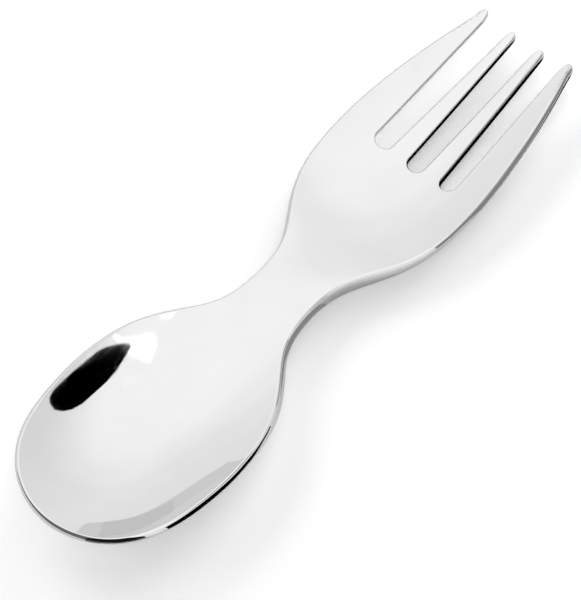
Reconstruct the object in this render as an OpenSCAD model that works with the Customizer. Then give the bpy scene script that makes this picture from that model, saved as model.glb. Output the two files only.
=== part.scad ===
// Spork in one piece of polished steel: a spoon bowl, a short waist and a fork.
// The origin lies on the table under the middle of the length. X runs from the nose of
// the bowl to the tips of the tines, Y across, and Z up. The spork rests on two places,
// the bottom of the bowl and the heel of the fork, and the waist bridges them.

/* [Bowl] */
// Length from the nose to the widest place of the bowl
nose_l = 28.9; // [25:0.1:34]
// Radius of the nose, seen from above
nose_r = 17.5; // [15:0.5:21]
// Width of the bowl across its rim
bowl_w = 38.7; // [34:0.1:44]
// Radius of the bowl's side at its widest place, seen from above
bowl_side_r = 46.5; // [38:0.5:60]
// Length from the widest place to where the side turns into the neck
bowl_back_l = 24; // [21:0.1:28]
// Depth of the bowl below its rim
bowl_depth = 7; // [5:0.25:9]
// Length from the nose to the lowest place of the bowl
bowl_low_l = 30.5; // [27:0.5:34]
// Radius of the bottom of the bowl, seen from the side
bowl_low_r = 45; // [35:1:60]
// Height of the nose above the rim at the widest place
nose_rise = 1.3; // [0:0.1:2.5]
// Thickness at the bottom of the bowl
bowl_t = 1.7; // [1.3:0.1:2.4]
// Thickness at the nose
nose_t = 1.4; // [1.1:0.1:2.2]
// How far the bowl's rounded edge reaches out beyond the flat of its faces
bowl_edge_r = 0.4; // [0.2:0.05:0.5]

/* [Waist] */
// Width of the waist at its narrowest place
waist_w = 14.4; // [12:0.1:17]
// Radius of the waist's side, seen from above
waist_side_r = 28; // [22:1:36]
// Thickness of the waist
waist_t = 4.5; // [3.5:0.1:5.2]
// Height of the waist's underside above the table
waist_gap = 1.5; // [0.8:0.1:3]
// How much higher the waist is at its middle than at its edges
waist_crown = 0.3; // [0:0.05:0.6]
// Radius of the arch of the waist, seen from the side
waist_arch_r = 100; // [70:5:160]
// Length of the neck from the waist towards the bowl
bowl_neck_l = 15.6; // [13:0.1:18]
// Width where that neck turns into the bowl
bowl_neck_w = 23.4; // [20:0.1:26]
// Length of the neck from the waist towards the fork
fork_neck_l = 14.2; // [12:0.1:16]
// Width where that neck turns into the fork
fork_neck_w = 22.6; // [19:0.1:25]
// How far the waist's rounded edge reaches out beyond the flat of its faces
waist_edge_r = 0.85; // [0.4:0.05:1.2]

/* [Fork] */
// Length from the end of the neck to the widest place of the fork
fork_back_l = 22.8; // [20:0.1:26]
// Width of the fork at its widest place
fork_w = 34.3; // [31:0.1:38]
// Radius of the fork's side at its widest place, seen from above
fork_side_r = 69; // [55:1:90]
// Length from the widest place of the fork to the tips
fork_front_l = 40; // [36:0.1:46]
// Width across the tips
tips_w = 22; // [21.5:0.1:25]
// Radius of the fork's side near the tips, seen from above
tips_side_r = 140; // [100:5:200]
// Depth of the fork's hollow below its edges
fork_depth = 4.4; // [3:0.1:5.5]
// Length from the waist to the lowest place of the fork, its heel
heel_l = 31.1; // [28:0.1:35]
// Radius of the heel, seen from the side
heel_r = 100; // [80:5:150]
// Thickness at the heel
fork_t = 1.9; // [1.5:0.1:2.6]
// How far the fork's rounded edge reaches out beyond the flat of its faces
fork_edge_r = 0.45; // [0.2:0.05:0.6]
// Thickness at the tips
tips_t = 2.2; // [1.4:0.1:2.6]
// How far the tines' rounded edges reach out at their tips
tips_edge_r = 0.55; // [0.3:0.05:0.65]
// Height of the outer tips above the table
tips_h = 7.4; // [6:0.1:9]
// How much higher the outer tips are than the middle of the fork there
tips_depth = 1.8; // [1:0.1:2.4]
// Radius of the tines near their tips, seen from the side
tines_r = 500; // [300:10:900]

/* [Tines] */
// Length of the slots, from the tips back to their round roots
slot_l = 38.2; // [32:0.1:42]
// Width of each slot at its root
slot_root_w = 3.7; // [3.3:0.05:4.1]
// Width of each slot at the tips
slot_mouth_w = 4.85; // [4.5:0.05:5.2]
// Distance between the middles of two slots at their roots
slot_root_pitch = 8.15; // [7.8:0.05:8.6]
// Distance between the middles of two slots at the tips
slot_mouth_pitch = 6.9; // [6.7:0.05:7.1]
// Length over which a tine rounds off to its tip
tip_l = 2.6; // [2:0.1:4]

/* [Hidden] */

// Directions of the sides and of the rim at their stations, in degrees
bowl_neck_angle = 34.5;
fork_neck_angle = 30.6;
tips_side_angle = 15.5;
nose_pitch = 1.7;
bowl_pitch = -4.1;
waist_pitch = -2.4;
fork_pitch = 3.2;
tips_pitch = 1.5;
tines_pitch = 6.5;

// Square of the breadth to length ratio of the ellipse that the nose follows
nose_share = 0.84;
// Part of the thickness that is lost from the middle of the spork to its edge
thinning_share = 0.08;
// Part of the nose's length that the first row of points closes
cap_share = 0.2;
// Step that a slope is measured over, as a part of the nose's length
probe_share = 0.0005;

// Number of cells across each tine and each slot, and around an edge
strip_cells = 6;
edge_steps = 4;
// Number of rows of cells in each stretch of the body, and along a tine
cap_rows = 9;
back_rows = 13;
neck_rows = 11;
heel_rows = 4;
tine_rows = 11;
// Number of rows that the nose, a slot's root or a tine's tip bends
nose_fade_rows = 6;
root_fade_rows = 3;
tip_fade_rows = 3;

// Stations along the length
overall_l = nose_l + bowl_back_l + bowl_neck_l + fork_neck_l + fork_back_l + fork_front_l;
x_nose = -overall_l / 2;
x_bowl = x_nose + nose_l;
x_bowl_low = x_nose + bowl_low_l;
x_bowl_neck = x_bowl + bowl_back_l;
x_waist = x_bowl_neck + bowl_neck_l;
x_fork_neck = x_waist + fork_neck_l;
x_fork = x_fork_neck + fork_back_l;
x_heel = x_waist + heel_l;
x_tips = x_fork + fork_front_l;
x_root = x_tips - slot_l;
x_cap = x_nose + cap_share * nose_l;
x_slots = x_root + slot_root_w / 2;
probe = probe_share * nose_l;

// Heights of the upper face above the table
bowl_rim_h = bowl_t + bowl_depth;
nose_h = bowl_rim_h + nose_rise;
waist_h = waist_gap + waist_t;
fork_rim_h = fork_t + fork_depth;

// Hollowness across the bowl, the factor of the square of the distance from the middle
bowl_hollow = 4 * bowl_depth / bowl_w ^ 2;

// Each station of a line is [x, value, slope, change of slope]
nose_line = [
    [x_nose, 0, 2 * nose_r, -2 * nose_share],
    [x_bowl, bowl_w ^ 2 / 4, 0, -bowl_w / bowl_side_r]
];
side_line = [
    [x_bowl, bowl_w / 2, 0, -1 / bowl_side_r],
    [x_bowl_neck, bowl_neck_w / 2, -tan(bowl_neck_angle), 0],
    [x_waist, waist_w / 2, 0, 1 / waist_side_r],
    [x_fork_neck, fork_neck_w / 2, tan(fork_neck_angle), 0],
    [x_fork, fork_w / 2, 0, -1 / fork_side_r],
    [x_tips, tips_w / 2, -tan(tips_side_angle), -1 / tips_side_r]
];
rim_line = [
    [x_nose, nose_h, tan(nose_pitch), 0],
    [x_bowl, bowl_rim_h, tan(bowl_pitch), 0],
    [x_waist, waist_h - waist_crown, tan(waist_pitch), 0],
    [x_fork, fork_rim_h, tan(fork_pitch), 0],
    [x_tips, tips_h, tan(tips_pitch), 0]
];
spine_line = [
    [x_nose, nose_h, tan(nose_pitch) - 2 * nose_r * bowl_hollow, 2 * nose_share * bowl_hollow],
    [x_bowl_low, bowl_t, 0, 1 / bowl_low_r],
    [x_waist, waist_h, tan(waist_pitch), -1 / waist_arch_r],
    [x_heel, fork_t, 0, 1 / heel_r],
    [x_tips, tips_h - tips_depth, tan(tines_pitch), 1 / tines_r]
];
thickness_line = [
    [x_nose, nose_t, 0, 0],
    [x_bowl_low, bowl_t, 0, 0],
    [x_waist, waist_t, 0, 0],
    [x_heel, fork_t, 0, 0],
    [x_tips, tips_t, 0, 0]
];
reach_line = [
    [x_nose, bowl_edge_r, 0, 0],
    [x_bowl, bowl_edge_r, 0, 0],
    [x_waist, waist_edge_r, 0, 0],
    [x_heel, fork_edge_r, 0, 0],
    [x_tips, tips_edge_r, 0, 0]
];

// Smooth step between two stations that keeps their values, slopes and changes of slope
function span(a, b, x) =
    let (l = b[0] - a[0])
    let (t = (x - a[0]) / l)
    let (s = 10 * t ^ 3 - 15 * t ^ 4 + 6 * t ^ 5)
    a[1] * (1 - s) + b[1] * s
    + a[2] * l * (t - 6 * t ^ 3 + 8 * t ^ 4 - 3 * t ^ 5)
    + b[2] * l * (-4 * t ^ 3 + 7 * t ^ 4 - 3 * t ^ 5)
    + a[3] * l ^ 2 * (t ^ 2 - 3 * t ^ 3 + 3 * t ^ 4 - t ^ 5) / 2
    + b[3] * l ^ 2 * (t ^ 3 - 2 * t ^ 4 + t ^ 5) / 2;

// Value at x of the line through the stations
function line_at(stations, x, i = 0) =
    i < len(stations) - 2 && x > stations[i + 1][0]
    ? line_at(stations, x, i + 1)
    : span(stations[i], stations[i + 1], x);

function unit(v) = v / norm(v);
function mix(a, b, t) = a + (b - a) * t;
function smooth(t) = let (s = min(1, max(0, t))) s * s * (3 - 2 * s);

// Square of half the width at x, which stays smooth at the nose, where the width is nothing
function square_width(x) = x < x_bowl ? line_at(nose_line, x) : line_at(side_line, x) ^ 2;

// Point of the flat's outline, set in from the spork's outline by the rounded edge
function flat_outline(x) =
    let (half_w = sqrt(max(0, square_width(x))))
    let (slope = (square_width(x + probe) - square_width(x - probe)) / (2 * probe))
    [x, half_w] - line_at(reach_line, x) * unit([-slope / 2, half_w]);

// Height of the upper face: a parabola across, from the spine up to the rim
function top_z(x, y) =
    let (spine_z = line_at(spine_line, x))
    spine_z + (line_at(rim_line, x) - spine_z) * y ^ 2 / square_width(x);

// Direction that the upper face looks in
function normal_at(x, y) =
    unit([
        (top_z(x - probe, y) - top_z(x + probe, y)) / (2 * probe),
        (top_z(x, y - probe) - top_z(x, y + probe)) / (2 * probe),
        1
    ]);

function thickness_at(x, y) =
    line_at(thickness_line, x) * (1 - thinning_share * y ^ 2 / square_width(x));

// Middle and half width of the slots in the flat at x
function slot_pitch(x) = mix(slot_root_pitch, slot_mouth_pitch, (x - x_slots) / (x_tips - x_slots));
function slot_half(x) =
    mix(slot_root_w, slot_mouth_w, (x - x_slots) / (x_tips - x_slots)) / 2 + line_at(reach_line, x);

// Places across the fork at x where tines and slots meet, from the left edge to the right
function strip_edges(x, half_w) =
    let (p = slot_pitch(x), h = slot_half(x))
    [half_w, p + h, p - h, h, -h, h - p, -h - p, -half_w];

// Columns within a strip, closer together at its edges, as shares from -1 to 1
strip_shares = [for (c = [0 : strip_cells]) -cos(180 * c / strip_cells)];
strip_count = 7;
column_count = strip_count * strip_cells;

// Place of each column across the fork at x
function columns_at(x, half_w) =
    let (e = strip_edges(x, half_w))
    concat(
        [half_w],
        [
            for (s = [0 : strip_count - 1], c = [1 : strip_cells])
            mix(e[s], e[s + 1], (1 + strip_shares[c]) / 2)
        ]
    );

// The nose: the first row of points follows its outline
cap_end = flat_outline(x_cap);
nose_row = [
    for (j = [0 : column_count])
    let (s = 1 - 2 * j / column_count)
    let (p = flat_outline(mix(x_nose, x_cap, s ^ 2)))
    [p[0], sign(s) * p[1]]
];
nose_shares = [for (p = nose_row) p[1] / cap_end[1]];
nose_pulls = [for (p = nose_row) p[0] - cap_end[0]];

// The fork: the last row of the body follows the round roots of the slots
root_end = flat_outline(x_slots);
root_shares = [for (y = columns_at(root_end[0], root_end[1])) y / root_end[1]];
root_pulls = [
    for (j = [0 : column_count])
    let (strip = floor(j / strip_cells), share = strip_shares[j % strip_cells])
    strip % 2 == 1 ? -slot_half(x_slots) * sqrt(1 - share ^ 2) : 0
];

// Stations of the body's rows
function steps(from, to, count) = [for (i = [0 : count - 1]) mix(from, to, i / count)];
body_x = concat(
    steps(x_cap, x_bowl_low, cap_rows),
    steps(x_bowl_low, x_waist, back_rows),
    steps(x_waist, x_heel, neck_rows),
    steps(x_heel, x_slots, heel_rows),
    [x_slots]
);
body_end = len(body_x) - 1;

// The body seen from above, row by row
body_plan = [
    for (i = [0 : body_end])
    let (edge = flat_outline(body_x[i]))
    let (to_fork = smooth((body_x[i] - x_bowl_neck) / (x_fork - x_bowl_neck)))
    let (nose_bend = 1 - smooth(i / nose_fade_rows))
    let (root_bend = smooth(1 - (body_end - i) / root_fade_rows))
    [
        for (j = [0 : column_count])
        [
            edge[0] + nose_bend * nose_pulls[j] + root_bend * root_pulls[j],
            edge[1] * mix(nose_shares[j], root_shares[j], to_fork)
        ]
    ]
];

// A tine seen from above, row by row, from its root to its round tip
function tine_plan(strip) = [
    for (i = [1 : tine_rows])
    let (edge = flat_outline(mix(x_slots, x_tips - tip_l, i / tine_rows)))
    let (sides = strip_edges(edge[0], edge[1]))
    let (tip_bend = smooth(1 - (tine_rows - i) / tip_fade_rows))
    [
        for (share = strip_shares)
        [
            edge[0] + tip_bend * (x_tips - tips_edge_r - edge[0]) * sqrt(1 - share ^ 2),
            mix(sides[strip], sides[strip + 1], (1 + share) / 2)
        ]
    ]
];

plan = concat(
    [for (row = body_plan) each row],
    [for (strip = [0 : 2 : strip_count - 1], row = tine_plan(strip)) each row]
);

// Numbers of the points: of the body, and of a tine whose row 0 is the body's last row
function body_id(i, j) = i * (column_count + 1) + j;
function tine_id(tine, i, j) =
    i == 0
    ? body_id(body_end, 2 * tine * strip_cells + j)
    : (body_end + 1) * (column_count + 1) + ((tine * tine_rows + i - 1) * (strip_cells + 1)) + j;

tine_count = (strip_count + 1) / 2;

// The outline of the flat as a loop of point numbers, clockwise from the left of the nose
outline = concat(
    [for (i = [0 : body_end - 1]) body_id(i, 0)],
    [
        for (tine = [0 : tine_count - 1])
        each concat(
            [for (i = [0 : tine_rows]) tine_id(tine, i, 0)],
            [for (j = [1 : strip_cells]) tine_id(tine, tine_rows, j)],
            [for (i = [tine_rows - 1 : -1 : 0]) tine_id(tine, i, strip_cells)],
            tine == tine_count - 1
            ? []
            : [for (j = [1 : strip_cells - 1]) body_id(body_end, (2 * tine + 1) * strip_cells + j)]
        )
    ],
    [for (i = [body_end - 1 : -1 : 0]) body_id(i, column_count)],
    [for (j = [column_count - 1 : -1 : 1]) body_id(0, j)]
);

top_points = [for (p = plan) [p[0], p[1], top_z(p[0], p[1])]];
normals = [for (p = plan) normal_at(p[0], p[1])];
thicknesses = [for (p = plan) thickness_at(p[0], p[1])];
bottom_points = [for (v = [0 : len(plan) - 1]) top_points[v] - thicknesses[v] * normals[v]];

// One turn of the rounded edge, at an angle above the middle of the thickness
function edge_ring(angle) = [
    for (k = [0 : len(outline) - 1])
    let (v = outline[k])
    let (next = top_points[outline[(k + 1) % len(outline)]])
    let (last = top_points[outline[(k + len(outline) - 1) % len(outline)]])
    top_points[v]
    - normals[v] * thicknesses[v] * (1 - sin(angle)) / 2
    + unit(cross(normals[v], next - last)) * line_at(reach_line, plan[v][0]) * cos(angle)
];

all_points = concat(
    top_points,
    bottom_points,
    [for (m = [1 : edge_steps - 1]) each edge_ring(90 - 180 * m / edge_steps)]
);

// Number of the point of ring m at place k of the outline, counted from the upper face
function ring_id(m, k) =
    let (place = k % len(outline))
    m == 0
    ? outline[place]
    : m == edge_steps
        ? len(plan) + outline[place]
        : 2 * len(plan) + (m - 1) * len(outline) + place;

// A cell as two triangles, split along its other diagonal on the right half of the spork
function split_cell(a, b, c, d, on_right) = on_right ? [[a, b, d], [b, c, d]] : [[a, b, c], [a, c, d]];

top_faces = concat(
    [
        for (i = [0 : body_end - 1], j = [0 : column_count - 1])
        each split_cell(
            body_id(i, j), body_id(i + 1, j), body_id(i + 1, j + 1), body_id(i, j + 1),
            j >= column_count / 2
        )
    ],
    [
        for (t = [0 : tine_count - 1], i = [0 : tine_rows - 1], j = [0 : strip_cells - 1])
        each split_cell(
            tine_id(t, i, j), tine_id(t, i + 1, j), tine_id(t, i + 1, j + 1), tine_id(t, i, j + 1),
            t >= tine_count / 2
        )
    ]
);
bottom_faces = [for (f = top_faces) [f[2] + len(plan), f[1] + len(plan), f[0] + len(plan)]];
edge_faces = [
    for (m = [0 : edge_steps - 1], k = [0 : len(outline) - 1])
    let (middle = (plan[outline[k]] + plan[outline[(k + 1) % len(outline)]]) / 2)
    each split_cell(
        ring_id(m, k), ring_id(m + 1, k), ring_id(m + 1, k + 1), ring_id(m, k + 1),
        middle[1] < 0
    )
];

// The rounded edge reaches further at one end than at the other, so the middle is found here
point_x = [for (p = all_points) p[0]];
x_shift = -(min(point_x) + max(point_x)) / 2;

// The whole spork, which is one solid with no joins
module spork_body() {
    color("gainsboro")
    translate([x_shift, 0, 0])
    polyhedron(all_points, concat(top_faces, bottom_faces, edge_faces), convexity = 8);
}

spork_body();
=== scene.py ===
"""Dresses a one-piece, double-ended steel spork and the small studio that it lies in.

The spork is a pressed sheet of steel with a spoon bowl, a waist and a slotted fork. Its upper
face is worked out from stations along its length. Geometry Nodes then give that face its
thickness and its rounded edge. Lengths in the size classes are in millimetres, and the meshes
are in metres.
"""

from __future__ import annotations

import logging
import math
from dataclasses import dataclass, field
from enum import Enum
from functools import cached_property
from typing import Sequence

import bpy
import numpy as np
from mathutils import Matrix, Vector

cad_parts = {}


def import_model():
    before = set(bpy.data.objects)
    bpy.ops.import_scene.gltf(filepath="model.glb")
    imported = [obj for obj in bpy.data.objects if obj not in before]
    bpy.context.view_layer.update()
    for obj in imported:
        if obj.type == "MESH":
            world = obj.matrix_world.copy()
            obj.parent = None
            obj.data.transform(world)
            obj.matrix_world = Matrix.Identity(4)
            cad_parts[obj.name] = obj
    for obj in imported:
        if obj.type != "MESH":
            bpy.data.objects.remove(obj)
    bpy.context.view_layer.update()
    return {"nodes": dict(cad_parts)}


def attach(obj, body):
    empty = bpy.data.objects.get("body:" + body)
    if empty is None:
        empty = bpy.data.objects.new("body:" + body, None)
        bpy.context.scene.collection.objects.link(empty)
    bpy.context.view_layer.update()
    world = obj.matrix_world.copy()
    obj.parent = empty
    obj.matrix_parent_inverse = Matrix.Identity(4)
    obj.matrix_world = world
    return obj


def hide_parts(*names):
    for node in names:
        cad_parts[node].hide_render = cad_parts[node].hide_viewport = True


Array = np.ndarray
Material = bpy.types.Material
Node = bpy.types.Node
Socket = bpy.types.NodeSocket
Tree = bpy.types.NodeTree

LOG = logging.getLogger("spork")
MM = 0.001


# ---------------------------------------------------------------- shape


@dataclass(frozen=True)
class Station:
    """A place along the length where a line's value, slope and change of slope are known."""

    x: float
    value: float
    slope: float = 0.0
    bend: float = 0.0


@dataclass(frozen=True)
class Line:
    """A smooth line through stations, made of Hermite curves of the fifth degree."""

    stations: Sequence[Station]

    @classmethod
    def through(cls, *stations: tuple[float, ...]) -> Line:
        """A line through stations that are given as their values in order."""
        return cls(tuple(Station(*station) for station in stations))

    def at(self, x: Array) -> Array:
        """Value of the line at each place.

        Args:
            x: Places along the length.

        Returns:
            The values there.
        """
        out = np.zeros_like(x, dtype=float)
        last = len(self.stations) - 2
        for i, (a, b) in enumerate(zip(self.stations[:-1], self.stations[1:])):
            inside = (x > a.x if i > 0 else np.full(x.shape, True)) & (
                x <= b.x if i < last else np.full(x.shape, True)
            )
            length = b.x - a.x
            t = (x[inside] - a.x) / length
            s = 10 * t**3 - 15 * t**4 + 6 * t**5
            out[inside] = (
                a.value * (1 - s)
                + b.value * s
                + a.slope * length * (t - 6 * t**3 + 8 * t**4 - 3 * t**5)
                + b.slope * length * (-4 * t**3 + 7 * t**4 - 3 * t**5)
                + a.bend * length**2 * (t**2 - 3 * t**3 + 3 * t**4 - t**5) / 2
                + b.bend * length**2 * (t**3 - 2 * t**4 + t**5) / 2
            )
        return out


@dataclass(frozen=True)
class BowlSizes:
    """Sizes of the spoon bowl."""

    nose_l: float = 28.9
    nose_r: float = 17.5
    width: float = 38.7
    side_r: float = 46.5
    back_l: float = 24.0
    depth: float = 7.0
    low_l: float = 30.5
    low_r: float = 45.0
    nose_rise: float = 1.3
    thickness: float = 1.7
    nose_thickness: float = 1.4
    edge_reach: float = 0.4
    edge_roundness: float = 0.5
    nose_pitch: float = 1.7
    pitch: float = -4.1
    nose_share: float = 0.84


@dataclass(frozen=True)
class WaistSizes:
    """Sizes of the waist and of the two necks beside it."""

    width: float = 14.4
    side_r: float = 28.0
    thickness: float = 4.5
    gap: float = 1.5
    crown: float = 0.3
    arch_r: float = 100.0
    bowl_neck_l: float = 15.6
    bowl_neck_w: float = 23.4
    bowl_neck_angle: float = 34.5
    fork_neck_l: float = 14.2
    fork_neck_w: float = 22.6
    fork_neck_angle: float = 30.6
    edge_reach: float = 0.85
    edge_roundness: float = 1.0
    pitch: float = -2.4


@dataclass(frozen=True)
class ForkSizes:
    """Sizes of the fork, its tines and its slots."""

    back_l: float = 22.8
    width: float = 34.3
    side_r: float = 69.0
    front_l: float = 40.0
    tips_w: float = 22.0
    tips_side_r: float = 140.0
    tips_side_angle: float = 15.5
    depth: float = 4.4
    heel_l: float = 31.1
    heel_r: float = 100.0
    thickness: float = 1.9
    edge_reach: float = 0.45
    tips_thickness: float = 2.2
    tips_edge_reach: float = 0.55
    tips_h: float = 7.4
    tips_depth: float = 1.8
    tines_r: float = 500.0
    pitch: float = 3.2
    tips_pitch: float = 1.5
    tines_pitch: float = 6.5
    slot_l: float = 38.2
    slot_root_w: float = 3.7
    slot_mouth_w: float = 4.85
    slot_root_pitch: float = 8.15
    slot_mouth_pitch: float = 6.9
    tip_l: float = 2.6


def slope_of(degrees: float) -> float:
    """Slope of a line that rises at an angle in degrees."""
    return math.tan(math.radians(degrees))


def smooth(t: Array | float) -> Array | float:
    """Smooth step from 0 to 1."""
    s = np.clip(t, 0, 1)
    return s * s * (3 - 2 * s)


def unit(v: Array) -> Array:
    """Vectors along the last axis, each made one long."""
    return v / np.linalg.norm(v, axis=-1, keepdims=True)


@dataclass(frozen=True)
class Places:
    """Places along the length where one form of the spork turns into the next."""

    nose: float
    bowl: float
    bowl_low: float
    bowl_neck: float
    waist: float
    fork_neck: float
    fork: float
    heel: float
    slots: float
    tips: float


@dataclass(frozen=True)
class SporkForm:
    """The upper face of the spork as lines along its length, in millimetres."""

    bowl: BowlSizes = BowlSizes()
    waist: WaistSizes = WaistSizes()
    fork: ForkSizes = ForkSizes()
    thinning_share: float = 0.08
    cap_share: float = 0.2
    probe_share: float = 0.0005

    @cached_property
    def at(self) -> Places:
        """The places along the length, from the nose's tip to the tines' tips.

        Returns:
            The places, counted from the middle of the length.
        """
        b, w, f = self.bowl, self.waist, self.fork
        neck = w.bowl_neck_l + w.fork_neck_l
        nose = -(b.nose_l + b.back_l + neck + f.back_l + f.front_l) / 2
        bowl = nose + b.nose_l
        bowl_neck = bowl + b.back_l
        waist = bowl_neck + w.bowl_neck_l
        fork_neck = waist + w.fork_neck_l
        fork = fork_neck + f.back_l
        tips = fork + f.front_l
        slots = tips - f.slot_l + f.slot_root_w / 2
        low, heel = nose + b.low_l, waist + f.heel_l
        return Places(nose, bowl, low, bowl_neck, waist, fork_neck, fork, heel, slots, tips)

    @property
    def hollow(self) -> float:
        """Hollowness across the bowl."""
        return 4 * self.bowl.depth / self.bowl.width**2

    @property
    def nose_h(self) -> float:
        """Height of the nose's tip."""
        return self.bowl.thickness + self.bowl.depth + self.bowl.nose_rise

    @cached_property
    def nose_line(self) -> Line:
        """Square of half the width, from the nose to the widest place of the bowl.

        Returns:
            The line.
        """
        at, b = self.at, self.bowl
        return Line.through(
            (at.nose, 0.0, 2 * b.nose_r, -2 * b.nose_share),
            (at.bowl, b.width**2 / 4, 0.0, -b.width / b.side_r),
        )

    @cached_property
    def side_line(self) -> Line:
        """Half the width, from the widest place of the bowl to the tips.

        Returns:
            The line.
        """
        at, b, w, f = self.at, self.bowl, self.waist, self.fork
        return Line.through(
            (at.bowl, b.width / 2, 0.0, -1 / b.side_r),
            (at.bowl_neck, w.bowl_neck_w / 2, -slope_of(w.bowl_neck_angle)),
            (at.waist, w.width / 2, 0.0, 1 / w.side_r),
            (at.fork_neck, w.fork_neck_w / 2, slope_of(w.fork_neck_angle)),
            (at.fork, f.width / 2, 0.0, -1 / f.side_r),
            (at.tips, f.tips_w / 2, -slope_of(f.tips_side_angle), -1 / f.tips_side_r),
        )

    @cached_property
    def rim_line(self) -> Line:
        """Height of the upper face at its edge.

        Returns:
            The line.
        """
        at, b, w, f = self.at, self.bowl, self.waist, self.fork
        return Line.through(
            (at.nose, self.nose_h, slope_of(b.nose_pitch)),
            (at.bowl, b.thickness + b.depth, slope_of(b.pitch)),
            (at.waist, w.gap + w.thickness - w.crown, slope_of(w.pitch)),
            (at.fork, f.thickness + f.depth, slope_of(f.pitch)),
            (at.tips, f.tips_h, slope_of(f.tips_pitch)),
        )

    @cached_property
    def spine_line(self) -> Line:
        """Height of the upper face along its middle.

        Returns:
            The line.
        """
        at, b, w, f = self.at, self.bowl, self.waist, self.fork
        nose_slope = slope_of(b.nose_pitch) - 2 * b.nose_r * self.hollow
        return Line.through(
            (at.nose, self.nose_h, nose_slope, 2 * b.nose_share * self.hollow),
            (at.bowl_low, b.thickness, 0.0, 1 / b.low_r),
            (at.waist, w.gap + w.thickness, slope_of(w.pitch), -1 / w.arch_r),
            (at.heel, f.thickness, 0.0, 1 / f.heel_r),
            (at.tips, f.tips_h - f.tips_depth, slope_of(f.tines_pitch), 1 / f.tines_r),
        )

    def level_line(self, **values: float) -> Line:
        """A line that is level at each of the places that it has a value for."""
        return Line.through(*((getattr(self.at, place), v) for place, v in values.items()))

    @cached_property
    def thickness_line(self) -> Line:
        """Thickness along the middle.

        Returns:
            The line.
        """
        b, w, f = self.bowl, self.waist, self.fork
        bowl = {"nose": b.nose_thickness, "bowl_low": b.thickness}
        return self.level_line(**bowl, waist=w.thickness, heel=f.thickness, tips=f.tips_thickness)

    @cached_property
    def reach_line(self) -> Line:
        """How far the rounded edge reaches out beyond the flat of the faces.

        Returns:
            The line.
        """
        f, at_bowl, at_waist = self.fork, self.bowl.edge_reach, self.waist.edge_reach
        return self.level_line(
            nose=at_bowl, bowl=at_bowl, waist=at_waist, heel=f.edge_reach, tips=f.tips_edge_reach
        )

    @cached_property
    def roundness_line(self) -> Line:
        """How round the lower half of the edge is: 1 is an ellipse, and less is fuller."""
        at_bowl, at_waist = self.bowl.edge_roundness, self.waist.edge_roundness
        return self.level_line(nose=at_bowl, bowl=at_bowl, waist=at_waist, tips=at_waist)

    def square_width(self, x: Array) -> Array:
        """Square of half the width at each place along the length."""
        return np.where(x < self.at.bowl, self.nose_line.at(x), self.side_line.at(x) ** 2)

    def flat_outline(self, x: Array) -> tuple[Array, Array]:
        """Outline of the flat, set in from the spork's outline by the rounded edge.

        Args:
            x: Places along the length on the spork's outline.

        Returns:
            The places along the length and the half widths of the flat.
        """
        probe = self.probe_share * self.bowl.nose_l
        half_w = np.sqrt(np.maximum(0, self.square_width(x)))
        slope = (self.square_width(x + probe) - self.square_width(x - probe)) / (2 * probe)
        out = unit(np.stack([-slope / 2, half_w], -1))
        reach = self.reach_line.at(x)
        return x - reach * out[..., 0], half_w - reach * out[..., 1]

    def top_z(self, x: Array, y: Array) -> Array:
        """Height of the upper face: a parabola across, from the spine up to the rim."""
        spine = self.spine_line.at(x)
        return spine + (self.rim_line.at(x) - spine) * y**2 / self.square_width(x)

    def normal(self, x: Array, y: Array) -> Array:
        """Direction that the upper face looks in.

        Args:
            x: Places along the length.
            y: Places across.

        Returns:
            A unit vector at each place.
        """
        p = self.probe_share * self.bowl.nose_l
        along = (self.top_z(x - p, y) - self.top_z(x + p, y)) / (2 * p)
        across = (self.top_z(x, y - p) - self.top_z(x, y + p)) / (2 * p)
        return unit(np.stack([along, across, np.ones_like(along)], -1))

    def thickness(self, x: Array, y: Array) -> Array:
        """Thickness of the sheet at each place."""
        share = self.thinning_share * y**2 / self.square_width(x)
        return self.thickness_line.at(x) * (1 - share)

    def slot_pitch(self, x: Array) -> Array:
        """Distance between the middles of two slots.

        Args:
            x: Places along the length.

        Returns:
            The distance at each place.
        """
        f = self.fork
        t = (x - self.at.slots) / (self.at.tips - self.at.slots)
        return f.slot_root_pitch + (f.slot_mouth_pitch - f.slot_root_pitch) * t

    def slot_half(self, x: Array) -> Array:
        """Half the width of a slot in the flat.

        Args:
            x: Places along the length.

        Returns:
            The half width at each place.
        """
        f = self.fork
        t = (x - self.at.slots) / (self.at.tips - self.at.slots)
        return (f.slot_root_w + (f.slot_mouth_w - f.slot_root_w) * t) / 2 + self.reach_line.at(x)

    def strip_edges(self, x: Array, half_w: Array) -> Array:
        """Places across the fork where tines and slots meet, from the left edge to the right."""
        p, h = self.slot_pitch(x), self.slot_half(x)
        return np.stack([half_w, p + h, p - h, h, -h, h - p, -h - p, -half_w], -1)


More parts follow.
